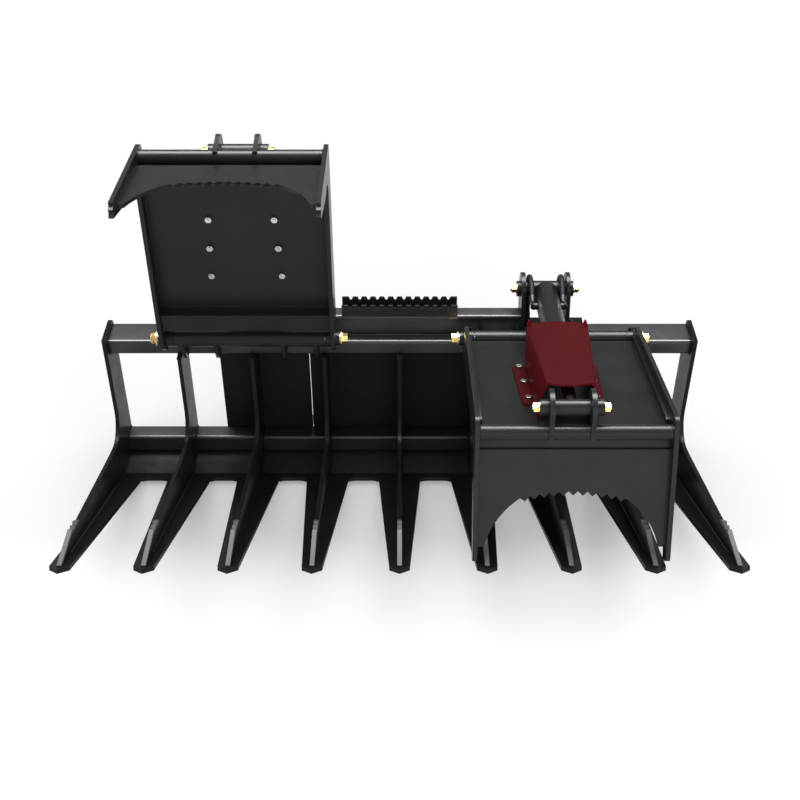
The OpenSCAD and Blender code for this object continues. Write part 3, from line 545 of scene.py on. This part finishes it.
class GRAPPLE_OT_noses(bpy.types.Operator):
    """Lay the bare steel nose bars on the tines"""

    bl_idname = "grapple.noses"
    bl_label = "Tine noses"

    def execute(self, context):
        bm = bmesh.new()
        across = Vector((PLATE / 1000, 0, 0))
        for x in RIB_X:
            outline = [place(x - PLATE / 2, y, floor_at(y) + h) for y, h in NOSE_SEAT + NOSE_TOP]
            side = bm.faces.new([bm.verts.new(point) for point in outline])
            grown = bmesh.ops.extrude_face_region(bm, geom=[side])["geom"]
            far = [g for g in grown if isinstance(g, bmesh.types.BMVert)]
            bmesh.ops.translate(bm, verts=far, vec=across)
        bmesh.ops.recalc_face_normals(bm, faces=bm.faces[:])
        noses = new_piece("tine_noses_finished", bm, "frame", "bare_steel")
        ease(noses, 0.5)
        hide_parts("tine_noses")
        return {"FINISHED"}


# Arms and cylinders


class GRAPPLE_OT_arms(bpy.types.Operator):
    """Coat the arms' plates, decks, tubes and clevises"""

    bl_idname = "grapple.arms"
    bl_label = "Grapple arms"

    def execute(self, context):
        edge = settings().plate_edge
        for name, _ in SIDES:
            for part in ("arm_sides", "arm_deck", "arm_strips", "front_plate", "clevis"):
                dress(f"{part}_{name}", "black_coat", edge)
            dress(f"front_tube_{name}", "black_coat", 0)
        return {"FINISHED"}


class GRAPPLE_OT_guards(bpy.types.Operator):
    """Paint the folded guards over the cylinders"""

    bl_idname = "grapple.guards"
    bl_label = "Cylinder guards"

    def execute(self, context):
        for name, _ in SIDES:
            dress(f"guard_{name}", "guard_red", 1.2)
        return {"FINISHED"}


class GRAPPLE_OT_cylinders(bpy.types.Operator):
    """Finish the barrels, glands, rods and pistons"""

    bl_idname = "grapple.cylinders"
    bl_label = "Hydraulic cylinders"

    def execute(self, context):
        for name, side in SIDES:
            dress(f"barrel_{name}", "black_coat", 0.8)
            dress(f"gland_{name}", "black_coat", 0.8)
            rod = dress(f"rod_{name}", "rod_chrome", 0.5).data
            # the eye is coated with the barrel, and only the rod is chrome
            rod.materials.append(finish_of("black_coat"))
            pin = on_arm(side, CYL_X - ARM_X, *ROD_PIN)
            for face in rod.polygons:
                if (face.center - pin).yz.length < ROD_EYE_R / 1000:
                    face.material_index = 1
            dress(f"piston_{name}", "pin_steel", 0)
        return {"FINISHED"}


class GRAPPLE_OT_fasteners(bpy.types.Operator):
    """Finish the pins, bolts, washers and nuts"""

    bl_idname = "grapple.fasteners"
    bl_label = "Pins, bolts and nuts"

    def execute(self, context):
        dress("base_pins", "pin_steel", 0.6)
        dress("base_pin_nuts", "gold_zinc", 0.6)
        for name, _ in SIDES:
            dress(f"guard_bolts_{name}", "pin_steel", 0.6)
            dress(f"pivot_pins_{name}", "pin_steel", 0.6)
            dress(f"pivot_bolts_{name}", "gold_zinc", 0.7)
            dress(f"rod_pin_{name}", "pin_steel", 0.6)
            dress(f"rod_pin_nuts_{name}", "gold_zinc", 0.6)
        return {"FINISHED"}


# Hoses


def hose_along(rubber, route, radius):
    """Adds a round hose along a route, its radius in millimetres."""
    curve = bpy.data.curves.new("route", "CURVE")
    curve.dimensions = "3D"
    curve.bevel_depth = radius / 1000
    curve.bevel_resolution = 4
    curve.resolution_u = 8
    curve.use_fill_caps = True
    spline = curve.splines.new("NURBS")
    spline.points.add(len(route) - 1)
    for point, spot in zip(spline.points, route):
        point.co = (*spot, 1)
    spline.use_endpoint_u = True
    spline.order_u = 4
    holder = bpy.data.objects.new("route", curve)
    mesh = bpy.data.meshes.new_from_object(holder)
    rubber.from_mesh(mesh)
    bpy.data.objects.remove(holder)
    bpy.data.curves.remove(curve)
    bpy.data.meshes.remove(mesh)


class GRAPPLE_OT_hoses(bpy.types.Operator):
    """Run the hydraulic hoses with crimped ends from the beam to the barrels' ports"""

    bl_idname = "grapple.hoses"
    bl_label = "Hydraulic hoses"

    def execute(self, context):
        for name, side in SIDES:
            rubber = bmesh.new()
            ends = bmesh.new()
            for across in (-1, 1):
                route = [place(side * (CYL_X + across * x), BASE_PIN[0] - y, BASE_PIN[1] + z)
                         for x, y, z in ROUTES[side]]
                hose_along(rubber, route, settings().hose_diameter / 2)
                turned(ends, LOW_END, route[0], route[1] - route[0])
                turned(ends, TOP_END, route[-1], route[-2] - route[-1])
                foot = place(side * (CYL_X + across * ROUTE_START[0][0]), BASE_PIN[0] + 3, BEAM_TOP)
                turned(ends, COUPLING, foot, Vector((0, 0, 1)), 6)
            bmesh.ops.remove_doubles(rubber, verts=rubber.verts[:], dist=1e-6)
            hose = new_piece(f"hoses_{name}_rubber", rubber, "frame", "hose_rubber", 50)
            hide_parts(f"hoses_{name}")
            bmesh.ops.remove_doubles(ends, verts=ends.verts[:], dist=1e-6)
            bmesh.ops.recalc_face_normals(ends, faces=ends.faces[:])
            new_piece(f"hose_ends_{name}", ends, "frame", "pin_steel", 30, "black_coat")
        return {"FINISHED"}


# Welds


def rib_welds(frame, x, r):
    """Beads down the sides of a rib: on the floor plate, the lower tube and the beam."""
    outer = abs(x) > END_X - 1
    tube_y, tube_top, end = BACK_Y - LOWER_TUBE, FLOOR_TOP + LOWER_TUBE, BACK_Y - 2
    for side in (-1, 1):
        if outer and side * x > 0:
            continue
        edge = x + side * PLATE / 2
        bead(frame, [place(edge, 62, FLOOR_TOP), place(edge, BEND_Y, FLOOR_TOP),
                     place(edge, -690, floor_at(-690))], r)
        bead(frame, [place(edge, tube_y, FLOOR_TOP), place(edge, tube_y, tube_top),
                     place(edge, end, tube_top)], r * 0.7)
        if outer:
            bead(frame, [place(edge, BEAM_Y, BEAM_TOP - 1.7), place(edge, BEAM_Y, BEAM_LOW),
                         place(edge, end, BEAM_LOW)], r * 0.7)
        else:
            bead(frame, [place(edge, 1, BEAM_LOW), place(edge, end, BEAM_LOW)], r * 0.6)


def beam_welds(frame, r):
    """Beads on the top beam: round the towers' ears, the pivot tabs, the upper tube and the step."""
    inner_ear = CYL_X - EAR_OUT
    for side in (-1, 1):
        for x in (inner_ear, CYL_X - EAR_IN, CYL_X + EAR_IN, CYL_X + EAR_OUT):
            # the upper tube ends at the inner ear
            end = CROSS_Y[0] - 1 if x == inner_ear else BACK_Y - 1
            bead(frame, [place(side * x, BEAM_Y + 0.6, BEAM_TOP), place(side * x, end, BEAM_TOP)], r)
        for x in TAB_X:
            for half in (-TAB_HALF, TAB_HALF):
                spot = side * (ARM_X + x + half)
                ends = [place(spot, BEAM_Y, BEAM_LOW + 1.1), place(spot, BEAM_Y, BEAM_TOP - 0.7)]
                bead(frame, ends, r * 0.8)
    reach = inner_ear - 0.9
    bead(frame, [place(-reach, CROSS_Y[0], BEAM_TOP), place(reach, CROSS_Y[0], BEAM_TOP)], r)
    for y in CROSS_Y:
        for x in (-STEP_END, STEP_END - STEP_WELD):
            bead(frame, [place(x, y, CROSS_TOP), place(x + STEP_WELD, y, CROSS_TOP)], r * 0.7)


def arm_welds(arm, side, r):
    """Beads on an arm: its deck, strips, front plate, front tube and clevis."""
    for i in (-1, 1):
        x = i * SIDE_IN
        strip = x - i * STRIP
        bead(arm, [on_deck(side, strip, 50, 0), on_deck(side, strip, 580, 0)], r * 0.6)
        bead(arm, [on_deck(side, x, 121, -DECK), on_deck(side, x, 600, -DECK)], r * 0.8)
        for ahead, size in ((0, 0.8), (10.5, 0.5)):
            bead(arm, [on_arm(side, x, s + ahead, n) for s, n in FRONT_PLATE], r * size)
        # rings where the front tube meets the side plates
        ring = [on_arm(side, x, FRONT_TUBE[0] + FRONT_TUBE_R * math.cos(t * math.tau / 20),
                       FRONT_TUBE[1] + FRONT_TUBE_R * math.sin(t * math.tau / 20)) for t in range(21)]
        bead(arm, ring, r * 0.8)
        for face in (CLEVIS_IN, CLEVIS_OUT):
            spot = CYL_X - ARM_X + i * face
            bead(arm, [on_deck(side, spot, 560, 0), on_deck(side, spot, 602, 0)], r * 0.8)
    for s, n in ((603.5, -0.5), (62, -DECK), (119, -DECK)):
        bead(arm, [on_deck(side, -250, s, n), on_deck(side, 250, s, n)], r * 0.7)


class GRAPPLE_OT_welds(bpy.types.Operator):
    """Lay the weld beads where plates and tubes meet"""

    bl_idname = "grapple.welds"
    bl_label = "Weld beads"

    def execute(self, context):
        r = settings().weld_radius
        frame = bmesh.new()
        for x in RIB_X:
            rib_welds(frame, x, r)
        beam_welds(frame, r)
        new_piece("frame_welds", frame, "frame", "black_coat", 70)
        for name, side in SIDES:
            arm = bmesh.new()
            arm_welds(arm, side, r)
            new_piece(f"arm_welds_{name}", arm, f"arm_{name}", "black_coat", 70)
        return {"FINISHED"}


# Stage


def photo_camera(scene):
    """The camera at the photograph's angle."""
    camera = bpy.data.cameras.new("camera")
    camera.sensor_width = 36
    camera.lens = CAMERA_LENS
    camera.shift_x = CAMERA_SHIFT
    camera.clip_end = 100
    eye = bpy.data.objects.new("camera", camera)
    eye.location = CAMERA_PLACE
    eye.rotation_euler = (math.radians(CAMERA_TILT), 0, 0)
    scene.collection.objects.link(eye)
    scene.camera = eye


def paper_floor(scene):
    """The floor under the floor plate, which takes the soft shadow."""
    low = min(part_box("floor_plate")[0][2], CAD_BOX[0][2])
    bm = bmesh.new()
    bmesh.ops.create_grid(bm, x_segments=1, y_segments=1, size=30)
    bmesh.ops.translate(bm, verts=bm.verts[:], vec=(0, 0, low - 0.001))
    mesh = bpy.data.meshes.new("floor")
    bm.to_mesh(mesh)
    bm.free()
    mesh.materials.append(white_paper())
    floor = bpy.data.objects.new("floor", mesh)
    scene.collection.objects.link(floor)


def studio_world(scene):
    """White to the camera, even light on the object, and in reflections darker toward the horizon."""
    world = bpy.data.worlds.new("studio")
    scene.world = world
    world.use_nodes = True
    tree = world.node_tree
    tree.nodes.clear()
    path = add(tree, "ShaderNodeLightPath").outputs
    where = add(tree, "ShaderNodeTexCoord").outputs["Generated"]
    up = add(tree, "ShaderNodeSeparateXYZ", {"Vector": where}).outputs["Z"]
    backdrop = add(tree, "ShaderNodeMapRange", {
        "Value": up, "From Min": 0.25, "From Max": 0.6, "To Min": 0.32, "To Max": 0.8,
    })
    level = add(tree, "ShaderNodeMapRange", {
        "Value": path["Is Glossy Ray"],
        "To Min": settings().room_light, "To Max": backdrop.outputs["Result"],
    })
    seen = {0: path["Is Camera Ray"], 1: path["Is Transmission Ray"]}
    seen = add(tree, "ShaderNodeMath", seen, operation="MAXIMUM")
    level = {0: seen.outputs[0], 1: level.outputs["Result"]}
    level = add(tree, "ShaderNodeMath", level, operation="MAXIMUM")
    sky = add(tree, "ShaderNodeBackground", {"Color": (1, 1, 1, 1), "Strength": level.outputs[0]})
    add(tree, "ShaderNodeOutputWorld", {"Surface": sky.outputs[0]})


def hang(scene, light, spot, turn):
    """Puts a light in its place, turned by so many degrees."""
    lamp = bpy.data.objects.new(light.name, light)
    lamp.location = spot
    lamp.rotation_euler = [math.radians(angle) for angle in turn]
    scene.collection.objects.link(lamp)
    return lamp


def softbox(scene, name, spot, turn, size, watts):
    """A rectangular soft light, its size in metres."""
    light = bpy.data.lights.new(name, "AREA")
    light.shape = "RECTANGLE"
    light.size, light.size_y = size
    light.energy = watts * settings().lamp_level
    return hang(scene, light, spot, turn)


class GRAPPLE_OT_stage(bpy.types.Operator):
    """Set the floor, the soft light and the camera of the photograph"""

    bl_idname = "grapple.stage"
    bl_label = "Floor, light and camera"

    def execute(self, context):
        scene = context.scene
        scene.view_settings.view_transform = "Standard"
        photo_camera(scene)
        paper_floor(scene)
        studio_world(scene)
        # an overhead lamp so wide that its shadows are soft and the floor is evenly lit
        sun = bpy.data.lights.new("overhead", "SUN")
        sun.energy = 0.8 * settings().lamp_level
        sun.angle = math.radians(80)
        hang(scene, sun, (0, 0, 0), (4, -6, 0))
        softbox(scene, "front_softbox", (0.9, -4.2, 1.2), (74, 0, 12), (2.6, 2.6), 48)
        # the strip only draws its long highlight on the round tubes
        strip = softbox(scene, "overhead_strip", (0, 0.85, 4.4), (-9, 0, 0), (5.0, 2.4), 1350)
        strip.visible_diffuse = False
        return {"FINISHED"}


# Add-on


class GrappleFinish(bpy.types.PropertyGroup):
    """Sizes and colours of the grapple's finish"""

    coat_colour: FloatVectorProperty(name="Coat colour", description="Colour of the powder coat",
                                     subtype="COLOR", default=linear("#232427"), min=0, max=1)
    coat_roughness: FloatProperty(name="Coat roughness", description="Roughness of the powder coat",
                                  subtype="FACTOR", default=0.32, min=0.1, max=0.9)
    guard_colour: FloatVectorProperty(name="Guard colour", description="Colour of the guards' enamel",
                                      subtype="COLOR", default=linear("#5f1016"), min=0, max=1)
    plate_edge: FloatProperty(name="Plate edge", description="Width of the eased plate edges in millimetres",
                              default=0.9, min=0.2, max=2)
    weld_radius: FloatProperty(name="Weld bead", description="Radius of the weld beads in millimetres",
                               default=3.4, min=1, max=6)
    hose_diameter: FloatProperty(name="Hose", description="Outer diameter of the hoses in millimetres",
                                 default=16, min=10, max=18)
    room_light: FloatProperty(name="Room light", description="Strength of the light from all round",
                              default=0.67, min=0, max=2)
    lamp_level: FloatProperty(name="Lamp level", description="Share of the lamps' full power",
                              subtype="FACTOR", default=1.0, min=0, max=2)
    floor_lift: FloatProperty(name="Floor lift", description="Light added to the floor as the camera sees it",
                              subtype="FACTOR", default=0.26, min=0, max=1)


class GRAPPLE_PT_panel(bpy.types.Panel):
    """The grapple's pieces"""

    bl_idname = "GRAPPLE_PT_panel"
    bl_label = "Skeleton grapple"
    bl_space_type = "VIEW_3D"
    bl_region_type = "UI"
    bl_category = "Grapple"

    def draw(self, context):
        for operator in PIECES:
            self.layout.operator(operator.bl_idname)
        for name in GrappleFinish.__annotations__:
            self.layout.prop(context.scene.grapple_finish, name)


PIECES = (GRAPPLE_OT_stage, GRAPPLE_OT_frame, GRAPPLE_OT_noses, GRAPPLE_OT_arms, GRAPPLE_OT_guards,
          GRAPPLE_OT_cylinders, GRAPPLE_OT_fasteners, GRAPPLE_OT_hoses, GRAPPLE_OT_welds)


def register():
    for cls in (GrappleFinish, *PIECES, GRAPPLE_PT_panel):
        bpy.utils.register_class(cls)
    bpy.types.Scene.grapple_finish = PointerProperty(type=GrappleFinish)


def unregister():
    del bpy.types.Scene.grapple_finish
    for cls in reversed((GrappleFinish, *PIECES, GRAPPLE_PT_panel)):
        bpy.utils.unregister_class(cls)


def main():
    register()
    for operator in PIECES:
        group, name = operator.bl_idname.split(".")
        getattr(getattr(bpy.ops, group), name)()


if __name__ == "__main__":
    main()
